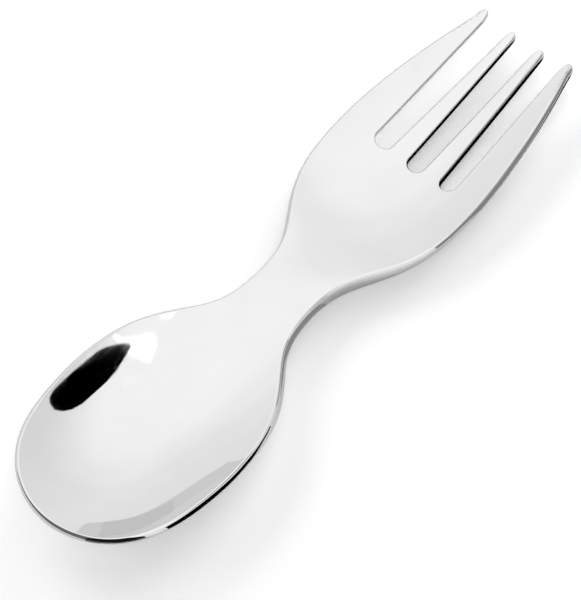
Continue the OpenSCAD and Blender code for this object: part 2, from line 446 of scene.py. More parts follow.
@dataclass
class SheetPlan:
    """Points and faces of the upper face, laid out in strips along the tines and the slots."""

    form: SporkForm
    strip_cells: int = 12
    strip_count: int = 7
    cap_rows: int = 36
    back_rows: int = 52
    neck_rows: int = 44
    heel_rows: int = 16
    tine_rows: int = 48
    nose_fade_rows: int = 24
    root_fade_rows: int = 12
    tip_fade_rows: int = 12

    @property
    def columns(self) -> int:
        """Number of cells across the body."""
        return self.strip_count * self.strip_cells

    def strip_shares(self) -> Array:
        """Columns within a strip as shares from -1 to 1, closer together at its edges."""
        return -np.cos(np.pi * np.arange(self.strip_cells + 1) / self.strip_cells)

    def columns_at(self, x: float, half_w: float) -> Array:
        """Place of each column across the fork.

        Args:
            x: Place along the length.
            half_w: Half the width of the flat there.

        Returns:
            The places across, from the left edge to the right.
        """
        edges = self.form.strip_edges(np.array(x), np.array(half_w))
        shares = (1 + self.strip_shares()[1:]) / 2
        inner = [a + (b - a) * shares for a, b in zip(edges[:-1], edges[1:])]
        return np.concatenate([[half_w], *inner])

    def row_places(self) -> Array:
        """Where the body's rows lie.

        Returns:
            The place of each row along the length, from the nose to the slots' roots.
        """
        form = self.form
        x_cap = form.at.nose + form.cap_share * form.bowl.nose_l
        stretches = (
            (x_cap, form.at.bowl_low, self.cap_rows),
            (form.at.bowl_low, form.at.waist, self.back_rows),
            (form.at.waist, form.at.heel, self.neck_rows),
            (form.at.heel, form.at.slots, self.heel_rows),
        )
        rows = [np.linspace(a, b, n, endpoint=False) for a, b, n in stretches]
        return np.concatenate([*rows, [form.at.slots]])

    def body_rows(self) -> Array:
        """The body seen from above.

        Returns:
            An array of rows by columns by 2, from the nose to the slots' roots.
        """
        form = self.form
        x_rows = self.row_places()
        end = len(x_rows) - 1
        edge_x, edge_w = form.flat_outline(x_rows)
        x_cap = x_rows[0]
        s = 1 - 2 * np.arange(self.columns + 1) / self.columns
        nose_x, nose_w = form.flat_outline(form.at.nose + (x_cap - form.at.nose) * s**2)
        nose_y = np.sign(s) * nose_w
        nose_shares, nose_pulls = nose_y / edge_w[0], nose_x - edge_x[0]
        root_shares = self.columns_at(edge_x[end], edge_w[end]) / edge_w[end]
        j = np.arange(self.columns + 1)
        share = self.strip_shares()[j % self.strip_cells]
        in_slot = (j // self.strip_cells) % 2 == 1
        half = form.slot_half(np.array(form.at.slots))
        root_pulls = np.where(in_slot, -half * np.sqrt(np.maximum(0, 1 - share**2)), 0)
        rows = []
        for i, x in enumerate(x_rows):
            to_fork = smooth((x - form.at.bowl_neck) / (form.at.fork - form.at.bowl_neck))
            nose_bend = 1 - smooth(i / self.nose_fade_rows)
            root_bend = smooth(1 - (end - i) / self.root_fade_rows)
            row_x = edge_x[i] + nose_bend * nose_pulls + root_bend * root_pulls
            row_y = edge_w[i] * (nose_shares + (root_shares - nose_shares) * to_fork)
            rows.append(np.stack([row_x, row_y], -1))
        return np.array(rows)

    def tine_grid(self, strip: int) -> Array:
        """A tine seen from above, from the row after its root to its round tip.

        Args:
            strip: Number of the tine's strip.

        Returns:
            An array of rows by columns by 2.
        """
        form, slots = self.form, self.form.at.slots
        share = self.strip_shares()
        rows = []
        for i in range(1, self.tine_rows + 1):
            x = slots + (form.at.tips - form.fork.tip_l - slots) * i / self.tine_rows
            edge_x, edge_w = form.flat_outline(np.array(x))
            sides = form.strip_edges(edge_x, edge_w)
            bend = smooth(1 - (self.tine_rows - i) / self.tip_fade_rows)
            reach = form.at.tips - form.fork.tips_edge_reach - edge_x
            row_x = edge_x + bend * reach * np.sqrt(np.maximum(0, 1 - share**2))
            row_y = sides[strip] + (sides[strip + 1] - sides[strip]) * (1 + share) / 2
            rows.append(np.stack([row_x, row_y], -1))
        return np.array(rows)

    def build(self) -> tuple[Array, list[tuple[int, ...]]]:
        """Lays out the whole upper face.

        Returns:
            The points seen from above, and the faces as point numbers with their normals up.
        """
        body = self.body_rows()
        n_rows, n_cols = body.shape[:2]
        points = [body.reshape(-1, 2)]
        ids = np.arange(n_rows * n_cols).reshape(n_rows, n_cols)
        grids = [ids]
        count = ids.size
        for strip in range(0, self.strip_count, 2):
            tine = self.tine_grid(strip)
            tine_ids = count + np.arange(tine.shape[0] * tine.shape[1]).reshape(tine.shape[:2])
            start = strip * self.strip_cells
            root = ids[-1:, start : start + self.strip_cells + 1]
            grids.append(np.concatenate([root, tine_ids]))
            points.append(tine.reshape(-1, 2))
            count += tine_ids.size
        faces: list[tuple[int, ...]] = []
        for grid in grids:
            a, b = grid[:-1, :-1], grid[1:, :-1]
            c, d = grid[1:, 1:], grid[:-1, 1:]
            faces += [tuple(map(int, f)) for f in np.stack([a, d, c, b], -1).reshape(-1, 4)]
        return np.concatenate(points), faces


# ---------------------------------------------------------------- node helpers


def socket(node: Node, name: str, side: str = "inputs") -> Socket:
    """The first enabled socket of a node with that name."""
    return next(s for s in getattr(node, side) if s.name == name and s.enabled)


@dataclass
class NodeBench:
    """Adds and links nodes in one tree."""

    tree: Tree

    def add(self, kind: str, settings: dict | None = None, **values: object) -> Node:
        """Adds a node.

        Args:
            kind: Blender's type name of the node.
            settings: Properties of the node.
            **values: Input values or sockets, by the input's name with _ for a space.

        Returns:
            The node.
        """
        node = self.tree.nodes.new(kind)
        for key, value in (settings or {}).items():
            setattr(node, key, value)
        for key, value in values.items():
            self.feed(socket(node, key.replace("_", " ")), value)
        return node

    def feed(self, target: Socket, value: object) -> None:
        """Links a socket into an input, or sets the input's value.

        Args:
            target: The input.
            value: A socket or a plain value.
        """
        if isinstance(value, Socket):
            self.tree.links.new(value, target)
        else:
            target.default_value = value

    def math(self, operation: str, *values: object) -> Socket:
        """Adds a Math node.

        Args:
            operation: Blender's name of the operation.
            *values: Values or sockets of its inputs.

        Returns:
            The node's result.
        """
        node = self.add("ShaderNodeMath", {"operation": operation})
        for target, value in zip(node.inputs, values):
            self.feed(target, value)
        return node.outputs[0]

    def mix(self, factor: object, low: object, high: object, kind: str = "FLOAT") -> Socket:
        """A Mix node's result, which goes from the low value to the high one."""
        node = self.add("ShaderNodeMix", {"data_type": kind}, Factor=factor, A=low, B=high)
        return socket(node, "Result", "outputs")

    def vector(self, operation: str, *values: object, scale: object = None) -> Socket:
        """Adds a Vector Math node.

        Args:
            operation: Blender's name of the operation.
            *values: Values or sockets of its inputs.
            scale: Value or socket of the Scale input, for an operation that has it.

        Returns:
            The node's result, which is its Value for a dot product.
        """
        node = self.add("ShaderNodeVectorMath", {"operation": operation})
        for target, value in zip(node.inputs, values):
            self.feed(target, value)
        if scale is not None:
            self.feed(socket(node, "Scale"), scale)
        return socket(node, "Value" if operation == "DOT_PRODUCT" else "Vector", "outputs")

    def ramp(self, factor: Socket, stops: Sequence[tuple[float, float]]) -> Socket:
        """A grey ramp.

        Args:
            factor: What the ramp reads, from 0 to 1.
            stops: Pairs of a place and a grey level.

        Returns:
            The ramp's colour.
        """
        node = self.add("ShaderNodeValToRGB", Fac=factor)
        ramp = node.color_ramp
        ramp.interpolation = "EASE"
        while len(ramp.elements) < len(stops):
            ramp.elements.new(0.5)
        for element, (place, level) in zip(ramp.elements, stops):
            element.position = place
            element.color = (level, level, level, 1.0)
        return node.outputs["Color"]


def new_group(
    name: str, kind: str, inputs: dict[str, str], outputs: dict[str, str]
) -> tuple[NodeBench, Node, Node]:
    """An empty node group with named sockets.

    Args:
        name: Name of the group.
        kind: Blender's type name of the tree.
        inputs: Kind of each input socket, by its name.
        outputs: Kind of each output socket, by its name.

    Returns:
        A bench for the group's tree, its input node and its output node.
    """
    tree = bpy.data.node_groups.new(name, kind)
    for side, sockets in (("INPUT", inputs), ("OUTPUT", outputs)):
        for key, data in sockets.items():
            tree.interface.new_socket(key, in_out=side, socket_type="NodeSocket" + data)
    return NodeBench(tree), tree.nodes.new("NodeGroupInput"), tree.nodes.new("NodeGroupOutput")


def place_object(name: str, data: bpy.types.ID) -> bpy.types.Object:
    """Puts a new object in the scene.

    Args:
        name: Name of the object.
        data: The mesh, the light or the camera that it shows.

    Returns:
        The object.
    """
    thing = bpy.data.objects.new(name, data)
    bpy.context.scene.collection.objects.link(thing)
    return thing


# ---------------------------------------------------------------- the spork's mesh


class SheetData(Enum):
    """Attributes that the upper face carries into the edge's node tree, by name and kind."""

    THICKNESS = ("sheet_thickness", "FLOAT")
    REACH = ("edge_reach", "FLOAT")
    ROUNDNESS = ("edge_roundness", "FLOAT")
    NORMAL = ("sheet_normal", "FLOAT_VECTOR")
    OUTWARD = ("edge_outward", "FLOAT_VECTOR")

    def write(self, mesh: bpy.types.Mesh, values: Array) -> None:
        """Gives a mesh the attribute.

        Args:
            mesh: The mesh.
            values: The attribute's value at each point.
        """
        name, kind = self.value
        attribute = mesh.attributes.new(name, kind, "POINT")
        key = "vector" if kind == "FLOAT_VECTOR" else "value"
        attribute.data.foreach_set(key, values.astype(np.float32).ravel())

    def read(self, bench: NodeBench) -> Socket:
        """Reads the attribute in a node tree.

        Args:
            bench: The tree to build in.

        Returns:
            The attribute's value.
        """
        name, kind = self.value
        node = bench.add("GeometryNodeInputNamedAttribute", {"data_type": kind}, Name=name)
        return socket(node, "Attribute", "outputs")

    def times(self, bench: NodeBench, scale: object) -> Socket:
        """The attribute as a vector, times a value or a socket."""
        return bench.vector("SCALE", self.read(bench), scale=scale)


@dataclass
class RolledEdgeTree:
    """Geometry Nodes that turn an upper face into a solid sheet with a rounded edge.

    Each turn of the edge is one extrusion of the open edge, along an ellipse that starts flush
    with the upper face and ends flush with the lower one. Where the roundness is below 1, the
    lower half of the ellipse is fuller. A narrow shoulder on both sides keeps the faces'
    shading flat up to the edge.
    """

    faces_finish: Material
    edge_finish: Material
    steps: int = 16
    weld: float = 2e-6
    shoulder: float = 4e-5
    name: str = "Rolled edge"

    def ring_place(self, bench: NodeBench, angle: Socket) -> tuple[Socket, Socket]:
        """Where a ring of the edge lies.

        Args:
            bench: The tree to build in.
            angle: Angle of the ring above the middle of the edge, in radians.

        Returns:
            The ring's share of the reach, and its height as a share of half the thickness.
        """
        below = bench.math("LESS_THAN", angle, 0.0)
        less = bench.math("SUBTRACT", SheetData.ROUNDNESS.read(bench), 1.0)
        power = bench.math("ADD", bench.math("MULTIPLY", less, below), 1.0)
        out = bench.math("POWER", bench.math("MAXIMUM", bench.math("COSINE", angle), 0.0), power)
        sine = bench.math("SINE", angle)
        height = bench.math("POWER", bench.math("ABSOLUTE", sine), power)
        return out, bench.math("MULTIPLY", height, bench.math("SIGN", sine))

    def extrude(self, bench: NodeBench, mesh: Socket, front: Socket, offset: Socket) -> Node:
        """Extrudes the edges of the front by an offset."""
        values = {"Mesh": mesh, "Selection": front, "Offset": offset, "Offset_Scale": 1.0}
        return bench.add("GeometryNodeExtrudeMesh", {"mode": "EDGES"}, **values)

    def rounded(self, bench: NodeBench, ledge: Node, steps: Socket, shoulder: Socket) -> Node:
        """Turns the edge half a circle round, in a repeat zone.

        Args:
            bench: The tree to build in.
            ledge: The extrusion that the turns start from.
            steps: Number of turns.
            shoulder: Width of the shoulder.

        Returns:
            The end of the zone, with the outputs Geometry and Front.
        """
        begin = bench.add("GeometryNodeRepeatInput")
        end = bench.add("GeometryNodeRepeatOutput")
        begin.pair_with_output(end)
        end.repeat_items.clear()
        for kind, item in (("GEOMETRY", "Geometry"), ("BOOLEAN", "Front"), ("FLOAT", "Angle")):
            end.repeat_items.new(kind, item)
        bench.feed(begin.inputs["Iterations"], steps)
        bench.feed(begin.inputs["Geometry"], ledge.outputs["Mesh"])
        bench.feed(begin.inputs["Front"], ledge.outputs["Top"])
        bench.feed(begin.inputs["Angle"], math.pi / 2)
        mesh, front, angle = [begin.outputs[key] for key in ("Geometry", "Front", "Angle")]
        following = bench.math("SUBTRACT", angle, bench.math("DIVIDE", math.pi, steps))

        places = zip(self.ring_place(bench, angle), self.ring_place(bench, following))
        out, down = [bench.math("SUBTRACT", there, here) for here, there in places]
        reach = bench.math("SUBTRACT", SheetData.REACH.read(bench), shoulder)
        half = bench.math("MULTIPLY", SheetData.THICKNESS.read(bench), 0.5)
        outward = SheetData.OUTWARD.times(bench, bench.math("MULTIPLY", out, reach))
        downward = SheetData.NORMAL.times(bench, bench.math("MULTIPLY", down, half))
        turned = self.extrude(bench, mesh, front, bench.vector("ADD", outward, downward))

        values = {"Geometry": turned.outputs["Mesh"], "Selection": turned.outputs["Side"]}
        ground = bench.add("GeometryNodeSetMaterial", Material=self.edge_finish, **values)
        bench.feed(end.inputs["Geometry"], ground.outputs["Geometry"])
        bench.feed(end.inputs["Front"], turned.outputs["Top"])
        bench.feed(end.inputs["Angle"], following)
        return end

    def build(self) -> Tree:
        """Builds the tree.

        Returns:
            The tree, with the inputs Edge Steps, Weld and Shoulder.
        """
        inputs = {"Geometry": "Geometry", "Edge Steps": "Int", "Weld": "Float", "Shoulder": "Float"}
        bench, given, result = new_group(
            self.name, "GeometryNodeTree", inputs, {"Geometry": "Geometry"}
        )
        set_material, shoulder = "GeometryNodeSetMaterial", given.outputs["Shoulder"]
        painted = bench.add(
            set_material, Geometry=given.outputs["Geometry"], Material=self.faces_finish
        )
        upper = painted.outputs["Geometry"]
        neighbours = bench.add("GeometryNodeInputMeshEdgeNeighbors").outputs["Face Count"]
        equal = {"data_type": "INT", "operation": "EQUAL"}
        is_open = bench.add("FunctionNodeCompare", equal, A=neighbours, B=1).outputs["Result"]

        wide = SheetData.OUTWARD.times(bench, shoulder)
        ledge = self.extrude(bench, upper, is_open, wide)
        end = self.rounded(bench, ledge, given.outputs["Edge Steps"], shoulder)
        back = SheetData.OUTWARD.times(bench, bench.math("MULTIPLY", shoulder, -1.0))
        tuck = self.extrude(bench, end.outputs["Geometry"], end.outputs["Front"], back)

        depth = bench.math("MULTIPLY", SheetData.THICKNESS.read(bench), -1.0)
        lower = bench.add(
            "GeometryNodeSetPosition",
            Geometry=upper,
            Offset=SheetData.NORMAL.times(bench, depth),
        )
        flipped = bench.add("GeometryNodeFlipFaces", Mesh=lower.outputs["Geometry"])
        joined = bench.add("GeometryNodeJoinGeometry")
        bench.feed(joined.inputs["Geometry"], tuck.outputs["Mesh"])
        bench.feed(joined.inputs["Geometry"], flipped.outputs["Mesh"])
        last = joined.outputs["Geometry"]
        for kind, values in (
            ("GeometryNodeMergeByDistance", {"Distance": given.outputs["Weld"]}),
            ("GeometryNodeSetShadeSmooth", {}),
            ("GeometryNodeRealizeInstances", {}),
            (set_material, {"Selection": False, "Material": self.faces_finish}),
        ):
            last = bench.add(kind, Geometry=last, **values).outputs["Geometry"]
        bench.feed(result.inputs["Geometry"], last)
        return bench.tree

    def apply(self, sheet: bpy.types.Object, name: str) -> bpy.types.Object:
        """Runs the tree on an upper face and keeps the result as a plain mesh.

        Args:
            sheet: The upper face. It is removed afterwards.
            name: Name of the new piece.

        Returns:
            The solid piece, with no modifier.
        """
        tree = self.build()
        modifier = sheet.modifiers.new(self.name, "NODES")
        modifier.node_group = tree
        wanted = {"Edge Steps": self.steps, "Weld": self.weld, "Shoulder": self.shoulder}
        for item in tree.interface.items_tree:
            if item.in_out == "INPUT" and item.name in wanted:
                modifier[item.identifier] = wanted[item.name]
        bpy.context.view_layer.update()
        evaluated = sheet.evaluated_get(bpy.context.evaluated_depsgraph_get())
        mesh = bpy.data.meshes.new_from_object(evaluated)
        mesh.name = name
        sheet.modifiers.remove(modifier)
        flat = sheet.data
        bpy.data.objects.remove(sheet)
        bpy.data.meshes.remove(flat)
        return place_object(name, mesh)


@dataclass
class SporkBody:
    """The whole spork: one pressed and ground piece of steel."""

    form: SporkForm
    faces_finish: Material
    edge_finish: Material
    node: str = "spork_body"
    name: str = "spork_steel"
    material_slot: str = "polished_steel"
    rings: int = 9

    def outline_directions(
        self, points: Array, normals: Array, faces: list[tuple[int, ...]]
    ) -> Array:
        """Directions in which the edge leaves the upper face.

        Args:
            points: Points of the upper face.
            normals: Directions that the face looks in.
            faces: The faces as point numbers.

        Returns:
            A unit vector at each point of the outline, and zero at all others.
        """
        seen = {pair for face in faces for pair in zip(face, face[1:] + face[:1])}
        follow = {a: b for a, b in seen if (b, a) not in seen}
        before = {b: a for a, b in follow.items()}
        out = np.zeros_like(points)
        places = np.array(sorted(follow))
        ahead = points[[follow[int(i)] for i in places]]
        behind = points[[before[int(i)] for i in places]]
        out[places] = unit(np.cross(ahead - behind, normals[places]))
        return out

    def sheet(self) -> bpy.types.Object:
        """The upper face as a mesh that carries its thickness and the form of its edge.

        Returns:
            The mesh's object, moved so that the solid's length is centred.
        """
        plan, faces = SheetPlan(self.form).build()
        x, y = plan[:, 0], plan[:, 1]
        points = np.stack([x, y, self.form.top_z(x, y)], -1)
        normals = self.form.normal(x, y)
        thickness = self.form.thickness(x, y)
        reach = self.form.reach_line.at(x)
        outward = self.outline_directions(points, normals, faces)
        rim = np.linalg.norm(outward, axis=-1) > 0
        down, out = normals[rim, 0], outward[rim, 0]
        along = [
            points[rim, 0]
            - down * (thickness[rim] * (1 - math.sin(a)) / 2)
            + out * (reach[rim] * math.cos(a))
            for a in np.linspace(math.pi / 2, -math.pi / 2, self.rings)
        ]
        points[:, 0] -= (float(np.min(along)) + float(np.max(along))) / 2
        mesh = bpy.data.meshes.new(self.name + "_sheet")
        mesh.from_pydata((points * MM).tolist(), [], faces)
        SheetData.THICKNESS.write(mesh, thickness * MM)
        SheetData.REACH.write(mesh, reach * MM)
        SheetData.ROUNDNESS.write(mesh, self.form.roundness_line.at(x))
        SheetData.NORMAL.write(mesh, normals)
        SheetData.OUTWARD.write(mesh, outward)
        return place_object(mesh.name, mesh)

    def build(self) -> bpy.types.Object:
        """Builds the piece and lets it stand for its CAD node.

        Returns:
            The finished piece.
        """
        tree = RolledEdgeTree(self.faces_finish, self.edge_finish)
        piece = tree.apply(self.sheet(), self.name)
        for data in SheetData:
            attribute = piece.data.attributes.get(data.value[0])
            if attribute is not None:
                piece.data.attributes.remove(attribute)
        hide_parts(self.node)
        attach(piece, "root")
        LOG.info("%s: %d faces", piece.name, len(piece.data.polygons))
        return piece


# ---------------------------------------------------------------- finishes


@dataclass(frozen=True)
class Finish:
    """A material made of shader nodes."""

    name: str

    def shader(self, bench: NodeBench) -> Socket:
        """Builds the shader that the material shows."""
        raise NotImplementedError

    def build(self) -> Material:
        """Builds the material.

        Returns:
            The material.
        """
        material = bpy.data.materials.new(self.name)
        material.use_nodes = True
        material.node_tree.nodes.clear()
        bench = NodeBench(material.node_tree)
        output = bench.add("ShaderNodeOutputMaterial")
        bench.feed(output.inputs["Surface"], self.shader(bench))
        return material


@dataclass(frozen=True)
class NoiseGroup:
    """A shader node group that turns places on a piece into a mask, built once.

    The mask is noise, stretched along an axis where that is asked for. With a span, it rises
    from 0 to 1 over that part of the noise's range.
    """

    name: str
    detail: float
    roughness: float = 0.5
    distortion: float = 0.0
    stretch: tuple[float, float, float] = (1.0, 1.0, 1.0)
    span: tuple[float, float] | None = None

    def tree(self) -> Tree:
        """The group's tree, built the first time that it is asked for.

        Returns:
            The tree, with the inputs Vector and Scale and the output Mask.
        """
        known = bpy.data.node_groups.get(self.name)
        if known is not None:
            return known
        inputs = {"Vector": "Vector", "Scale": "Float"}
        bench, given, result = new_group(self.name, "ShaderNodeTree", inputs, {"Mask": "Float"})
        noise = bench.add(
            "ShaderNodeTexNoise",
            Vector=bench.vector("MULTIPLY", given.outputs["Vector"], self.stretch),
            Scale=given.outputs["Scale"],
            Detail=self.detail,
            Roughness=self.roughness,
            Distortion=self.distortion,
        ).outputs["Fac"]
        if self.span is not None:
            noise = bench.ramp(noise, ((self.span[0], 0.0), (self.span[1], 1.0)))
        bench.feed(result.inputs["Mask"], noise)
        return bench.tree

    def mask(self, bench: NodeBench, place: Socket, scale: float) -> Socket:
        """Places the group in a material, and gives its mask at a place and a scale."""
        node = bench.add("ShaderNodeGroup", {"node_tree": self.tree()}, Vector=place, Scale=scale)
        return node.outputs["Mask"]


FILM = NoiseGroup("Handling film", 4.0, 0.55, 0.6, span=(0.38, 0.72))
HAIRLINES = NoiseGroup("Polishing lines", 3.0, 0.6, stretch=(0.02, 1.0, 1.0), span=(0.52, 0.62))
BREAKS = NoiseGroup("Breaks in the lines", 2.0, span=(0.4, 0.65))
WAVINESS = NoiseGroup("Pressed waviness", 1.0, 0.4)


@dataclass(frozen=True)
class SteelFinish(Finish):
    """Polished stainless steel.

    The film is a little duller and darker than the clean metal. The polishing lines only change
    the gloss and the relief, and the waves are what pressing and buffing leave in the sheet.
    """

    clean: tuple[float, float, float] = (0.705, 0.705, 0.705)
    filmed: tuple[float, float, float] = (0.685, 0.685, 0.685)
    film_scale: float = 60.0
    gloss: float = 0.02
    film_gloss: float = 0.035
    line_scale: float = 9000.0
    break_scale: float = 180.0
    line_gloss: float = 0.16
    line_share: float = 0.35
    line_depth: float = 0.00000015
    wave_scale: float = 45.0
    wave_depth: float = 0.000004

    def shader(self, bench: NodeBench) -> Socket:
        """Builds the shader.

        Args:
            bench: The material's bench.

        Returns:
            The shader.
        """
        place = bench.add("ShaderNodeTexCoord").outputs["Object"]
        film = FILM.mask(bench, place, self.film_scale)
        fine = HAIRLINES.mask(bench, place, self.line_scale)
        lines = bench.math("MULTIPLY", fine, BREAKS.mask(bench, place, self.break_scale))
        waves = WAVINESS.mask(bench, place, self.wave_scale)
        glosses = {"To_Min": self.gloss, "To_Max": self.film_gloss}
        gloss = bench.add("ShaderNodeMapRange", Value=film, **glosses)
        share = bench.math("MULTIPLY", lines, self.line_share)
        relief = bench.math(
            "ADD",
            bench.math("MULTIPLY", waves, self.wave_depth),
            bench.math("MULTIPLY", lines, -self.line_depth),
        )
        bump = bench.add("ShaderNodeBump", Strength=1.0, Distance=1.0, Height=relief)
        steel = bench.add(
            "ShaderNodeBsdfPrincipled",
            Base_Color=bench.mix(film, (*self.clean, 1.0), (*self.filmed, 1.0), "RGBA"),
            Metallic=1.0,
            Roughness=bench.mix(share, gloss.outputs["Result"], self.line_gloss),
            Normal=bump.outputs["Normal"],
        )
        return steel.outputs["BSDF"]


@dataclass(frozen=True)
class TableFinish(Finish):
    """Matt white paper that the spork lies on.

    The camera sees the paper partly lit from within, so that it is white and its shadows are
    pale. The metal sees less of that.
    """

    name: str = "white_paper"
    light: tuple[float, float, float] = (0.87, 0.87, 0.87)
    dark: tuple[float, float, float] = (0.865, 0.865, 0.865)
    cloud_scale: float = 12.0
    roughness: float = 0.9
    lift: float = 0.31
    metal_lift: float = 0.05

    def shader(self, bench: NodeBench) -> Socket:
        """Builds the shader.

        Args:
            bench: The material's bench.

        Returns:
            The shader.
        """
        place = bench.add("ShaderNodeTexCoord").outputs["Object"]
        clouds = FILM.mask(bench, place, self.cloud_scale)
        paper = bench.add(
            "ShaderNodeBsdfPrincipled",
            Base_Color=bench.mix(clouds, (*self.light, 1.0), (*self.dark, 1.0), "RGBA"),
            Roughness=self.roughness,
            Specular_IOR_Level=0.0,
        )
        path = bench.add("ShaderNodeLightPath")
        lift = bench.math(
            "ADD",
            bench.math("MULTIPLY", path.outputs["Is Camera Ray"], self.lift),
            bench.math("MULTIPLY", path.outputs["Is Glossy Ray"], self.metal_lift),
        )
        white = bench.add("ShaderNodeEmission", Color=(1.0, 1.0, 1.0, 1.0), Strength=lift)
        seen = bench.add("ShaderNodeAddShader")
        bench.feed(seen.inputs[0], paper.outputs["BSDF"])
        bench.feed(seen.inputs[1], white.outputs["Emission"])
        return seen.outputs["Shader"]


@dataclass(frozen=True)
class GlowFinish(Finish):
    """The finish of a card: an even level of light."""

    level: float

    def shader(self, bench: NodeBench) -> Socket:
        """Builds the shader."""
        grey = (self.level, self.level, self.level, 1.0)
        return bench.add("ShaderNodeEmission", Color=grey, Strength=1.0).outputs["Emission"]


# ---------------------------------------------------------------- the studio


@dataclass(frozen=True)
class PhotoCamera:
    """The photograph's camera. The azimuth and the elevation are the angles it looks along."""

    azimuth: float = -50.3
    elevation: float = 58.58
    distance: float = 0.60165
    target: tuple[float, float, float] = (-0.003139, -0.00009, 0.0)
    focal_px: float = 3078.3
    frame_px: int = 600
    sensor_mm: float = 36.0
    clip: tuple[float, float] = (0.01, 20.0)

    @property
    def right(self) -> Vector:
        """Direction to the picture's right."""
        a = math.radians(self.azimuth)
        return Vector((math.cos(a), math.sin(a), 0.0))

    @property
    def away(self) -> Vector:
        """Level direction away from the camera."""
        a = math.radians(self.azimuth)
        return Vector((-math.sin(a), math.cos(a), 0.0))

    def toward(self, heading: float, height: float) -> Vector:
        """A direction in the studio.

        Args:
            heading: Degrees from straight away from the camera, positive to its right.
            height: Degrees above the table.

        Returns:
            The unit vector.
        """
        h, e = math.radians(heading), math.radians(height)
        level = self.away * math.cos(h) + self.right * math.sin(h)
        return level * math.cos(e) + Vector((0.0, 0.0, math.sin(e)))

    def sweep(self, start: float, end: float, height: float, steps: int) -> list[Vector]:
        """Directions at one height, in even steps from one heading to another."""
        headings = [start + (end - start) * i / steps for i in range(steps + 1)]
        return [self.toward(heading, height) for heading in headings]

    def build(self) -> bpy.types.Object:
        """Makes the camera the scene's camera.

        Returns:
            The camera.
        """
        data = bpy.data.cameras.new("photo_camera")
        data.sensor_width = self.sensor_mm
        data.lens = self.focal_px * self.sensor_mm / self.frame_px
        data.clip_start, data.clip_end = self.clip
        camera = place_object("photo_camera", data)
        ahead = self.toward(0.0, -self.elevation)
        up = self.right.cross(ahead)
        turn = Matrix((self.right, up, -ahead)).transposed().to_4x4()
        camera.matrix_world = Matrix.Translation(Vector(self.target) - ahead * self.distance) @ turn
        bpy.context.scene.camera = camera
        return camera


@dataclass(frozen=True)
class Card:
    """A card that only glossy rays see, so it lights and shades nothing: a studio card, or a sheet
    of painted shade for the metal to reflect.
    """

    name: str
    level: float

    def grid(self, camera: PhotoCamera) -> list[list[Vector]]:
        """The card's points in metres, row by row."""
        raise NotImplementedError

    def build(self, camera: PhotoCamera) -> bpy.types.Object:
        """Builds the card.

        Args:
            camera: The camera that headings are counted from.

        Returns:
            The card.
        """
        grid = self.grid(camera)
        across = len(grid[0])
        faces = [
            (a, a + 1, a + across + 1, a + across)
            for row in range(len(grid) - 1)
            for a in range(row * across, (row + 1) * across - 1)
        ]
        mesh = bpy.data.meshes.new(self.name)
        mesh.from_pydata([point for row in grid for point in row], [], faces)
        mesh.materials.append(GlowFinish(self.name, self.level).build())
        card = place_object(self.name, mesh)
        for ray in ("camera", "diffuse", "shadow", "transmission", "volume_scatter"):
            setattr(card, f"visible_{ray}", False)
        return card


@dataclass(frozen=True)
class Screen(Card):
    """A far card, as rows of a height and the headings of its two ends, in degrees."""

    rows: Sequence[tuple[float, float, float]]
    distance: float = 4.0
    columns: int = 10
    centre: tuple[float, float, float] = (-0.042, 0.0, 0.004)

    def grid(self, camera: PhotoCamera) -> list[list[Vector]]:
        """The card's points in metres, row by row."""
        turned = [camera.sweep(a, b, height, self.columns) for height, a, b in self.rows]
        return [[Vector(self.centre) + turn * self.distance for turn in row] for row in turned]


@dataclass(frozen=True)
class PaintedShadeSheet(Card):
    """Painted shade that only the metal's reflections show: a flat card close above the table, from
    one corner to the opposite one, in millimetres.
    """

    start: tuple[float, float]
    end: tuple[float, float]
    height: float = 0.3

    def grid(self, camera: PhotoCamera) -> list[list[Vector]]:
        """The card's four corners in metres."""
        xs, ys = zip(self.start, self.end)
        return [[Vector((x, y, self.height)) * MM for x in xs] for y in ys]


@dataclass(frozen=True)
class FloorArc(Card):
    """A flat card close above the table, as a part of a ring round the bowl, in millimetres."""

    radii: tuple[float, float]
    headings: tuple[float, float]
    height: float = 0.3
    columns: int = 12
    centre: tuple[float, float] = (-42.0, 0.0)

    def grid(self, camera: PhotoCamera) -> list[list[Vector]]:
        """The card's points in metres, row by row."""
        turns, middle = camera.sweep(*self.headings, 0.0, self.columns), (*self.centre, self.height)
        return [[(Vector(middle) + turn * r) * MM for turn in turns] for r in self.radii]


@dataclass(frozen=True)
class Wall(Card):
    """A card on edge above the table, as places along its foot with its height there, in mm."""

    posts: Sequence[tuple[float, float, float]]
    foot: float = 0.3

    def grid(self, camera: PhotoCamera) -> list[list[Vector]]:
        """The card's points in metres, along its foot and along its top."""
        low = [Vector((x, y, self.foot)) * MM for x, y, _ in self.posts]
        return [low, [Vector(post) * MM for post in self.posts]]


BOWL_WALL = (
    ((-61.5, -43.3, 20), (-45.6, -43.8, 23), (-33.3, -42.7, 15.5))
    + ((-18.6, -38.2, 10.5), (-10, -34, 9))
)
SLANT = (
    ((34.2, 85.2, 87.4), (35.2, 83.0, 89.5), (37.5, 80.0, 92.9), (40.5, 78.4, 96.6))
    + ((43.5, 78.1, 99.0), (46.5, 79.5, 100.2), (49.5, 83.4, 101.2), (52.5, 87.4, 102.2))
    + ((55.5, 92.2, 103.3), (57, 95.0, 103.7), (58.6, 99.6, 104.1), (60.2, 103.4, 104.3))
)
SOFTBOX = (
    ((49, 102.3, 103.0), (54, 102.8, 104.0), (58, 102.4, 105.6), (62, 101.3, 107.3))
    + ((66, 101.6, 109.4), (70, 100.6, 110.8), (72.5, 100, 110.5), (75, 99, 108.5))
)
BEHIND_CAMERA = (
    ((0.5, 152, 290), (15, 152, 282), (30, 154, 268))
    + ((44, 158, 262), (60, 160, 262), (76, 162, 285))
)
BEHIND_SPLIT = 206
HORIZON = ((-0.5, -19, 0), (7, -19, 0), (8.3, -14, 0), (9.3, -9, 0), (10.5, -3, 0))
